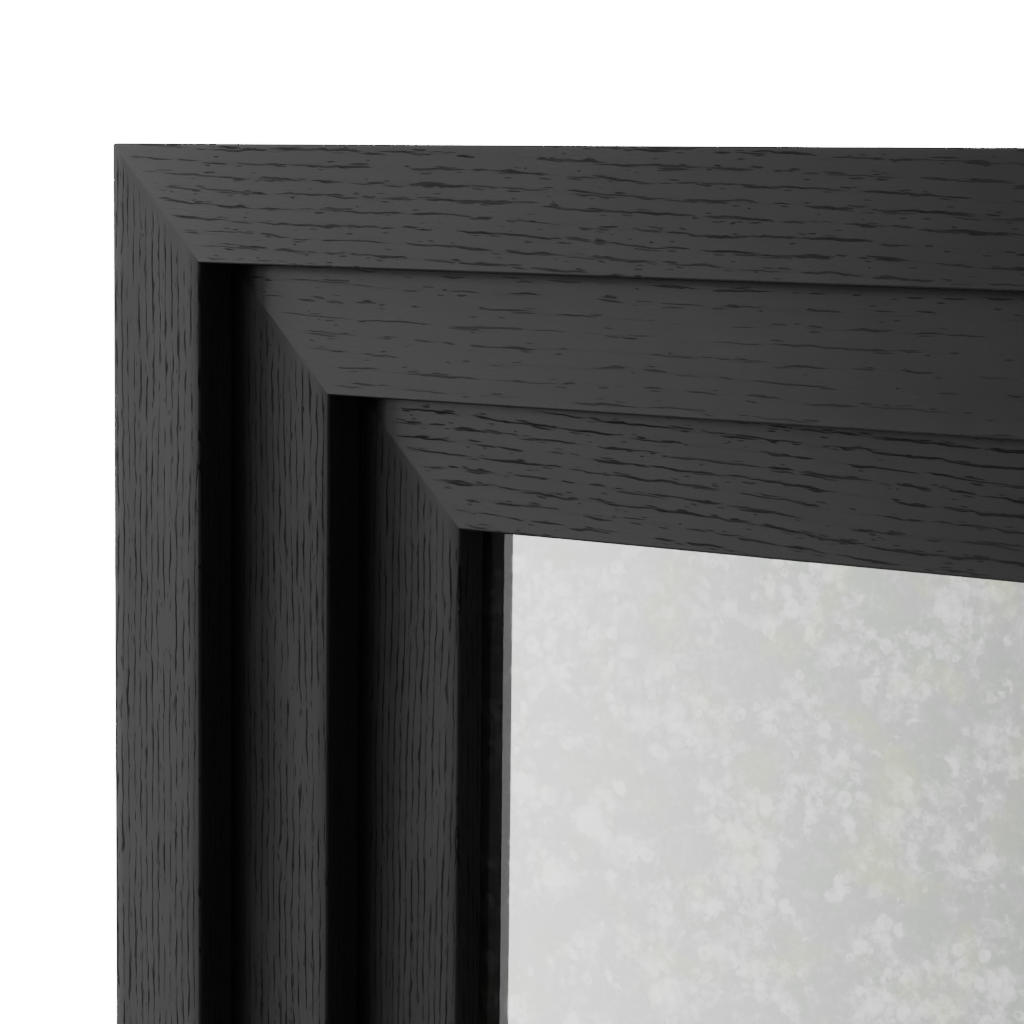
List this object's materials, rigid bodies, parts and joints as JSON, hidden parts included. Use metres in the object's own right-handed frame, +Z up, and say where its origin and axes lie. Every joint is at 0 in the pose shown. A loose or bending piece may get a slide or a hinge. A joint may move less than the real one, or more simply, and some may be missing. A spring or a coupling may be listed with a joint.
{
  "type": "wall mirror",
  "caption": "Rectangular antiqued wall mirror recessed in a deep, three-tier stepped and mitred black oak frame, hung on a French cleat.",
  "frame": {"origin": "middle of the wall cleat's back face, on the wall", "axes": "+X to the viewer's right, +Y into the wall, +Z up; the mirror faces -Y"},
  "size_m": [0.914, 0.063, 1.219],
  "materials": {
    "oak": "open-pored oak, stained black, satin",
    "mirror": "second-surface silvering, antiqued with pale mottled clouds and spots",
    "board": "brown hardboard",
    "zinc": "bright zinc-plated sheet steel",
    "steel": "zinc-plated wood screws",
    "ply": "birch plywood, sawn edges",
    "felt": "black felt"
  },
  "bodies": {
    "wall_cleat": {"wall_cleat": "ply"},
    "mirror": {"outer_top_rail": "oak", "outer_right_stile": "oak", "outer_bottom_rail": "oak", "outer_left_stile": "oak", "middle_top_rail": "oak", "middle_right_stile": "oak", "middle_bottom_rail": "oak", "middle_left_stile": "oak", "inner_top_rail": "oak", "inner_right_stile": "oak", "inner_bottom_rail": "oak", "inner_left_stile": "oak", "mirror_glass": "mirror", "backing_board": "board", "frame_cleat": "ply", "bumper_left": "felt", "bumper_right": "felt", "corner_plate_top_left": "zinc", "corner_plate_top_right": "zinc", "corner_plate_bottom_left": "zinc", "corner_plate_bottom_right": "zinc", "turn_button_screw_1": "steel", "turn_button_screw_2": "steel", "turn_button_screw_3": "steel", "turn_button_screw_4": "steel", "turn_button_screw_5": "steel", "turn_button_screw_6": "steel", "turn_button_screw_7": "steel", "turn_button_screw_8": "steel", "corner_screw_top_left_1": "steel", "corner_screw_top_left_2": "steel", "corner_screw_top_left_3": "steel", "corner_screw_top_left_4": "steel", "corner_screw_top_right_1": "steel", "corner_screw_top_right_2": "steel", "corner_screw_top_right_3": "steel", "corner_screw_top_right_4": "steel", "corner_screw_bottom_left_1": "steel", "corner_screw_bottom_left_2": "steel", "corner_screw_bottom_left_3": "steel", "corner_screw_bottom_left_4": "steel", "corner_screw_bottom_right_1": "steel", "corner_screw_bottom_right_2": "steel", "corner_screw_bottom_right_3": "steel", "corner_screw_bottom_right_4": "steel", "frame_cleat_screw_1": "steel", "frame_cleat_screw_2": "steel", "frame_cleat_screw_3": "steel", "frame_cleat_screw_4": "steel", "frame_cleat_screw_5": "steel"},
    "turn_button_1": {"turn_button_1": "zinc"},
    "turn_button_2": {"turn_button_2": "zinc"},
    "turn_button_3": {"turn_button_3": "zinc"},
    "turn_button_4": {"turn_button_4": "zinc"},
    "turn_button_5": {"turn_button_5": "zinc"},
    "turn_button_6": {"turn_button_6": "zinc"},
    "turn_button_7": {"turn_button_7": "zinc"},
    "turn_button_8": {"turn_button_8": "zinc"}
  },
  "joints": [
    {"name": "lift_off", "type": "slide", "parent": "wall_cleat", "child": "mirror", "axis": [0, 0, 1], "range_m": [0, 0.03]},
    {"name": "button_1_turn", "type": "hinge", "parent": "mirror", "child": "turn_button_1", "pos_m": [-0.297, -0.011, 0.01042], "axis": [0, 1, 0], "continuous": true},
    {"name": "button_2_turn", "type": "hinge", "parent": "mirror", "child": "turn_button_2", "pos_m": [0.297, -0.011, 0.01042], "axis": [0, 1, 0], "continuous": true},
    {"name": "button_3_turn", "type": "hinge", "parent": "mirror", "child": "turn_button_3", "pos_m": [0.365, -0.011, -0.83658], "axis": [0, 1, 0], "continuous": true},
    {"name": "button_4_turn", "type": "hinge", "parent": "mirror", "child": "turn_button_4", "pos_m": [0.365, -0.011, -0.17758], "axis": [0, 1, 0], "continuous": true},
    {"name": "button_5_turn", "type": "hinge", "parent": "mirror", "child": "turn_button_5", "pos_m": [-0.297, -0.011, -1.02458], "axis": [0, 1, 0], "continuous": true},
    {"name": "button_6_turn", "type": "hinge", "parent": "mirror", "child": "turn_button_6", "pos_m": [0.297, -0.011, -1.02458], "axis": [0, 1, 0], "continuous": true},
    {"name": "button_7_turn", "type": "hinge", "parent": "mirror", "child": "turn_button_7", "pos_m": [-0.365, -0.011, -0.83658], "axis": [0, 1, 0], "continuous": true},
    {"name": "button_8_turn", "type": "hinge", "parent": "mirror", "child": "turn_button_8", "pos_m": [-0.365, -0.011, -0.17758], "axis": [0, 1, 0], "continuous": true}
  ]
}
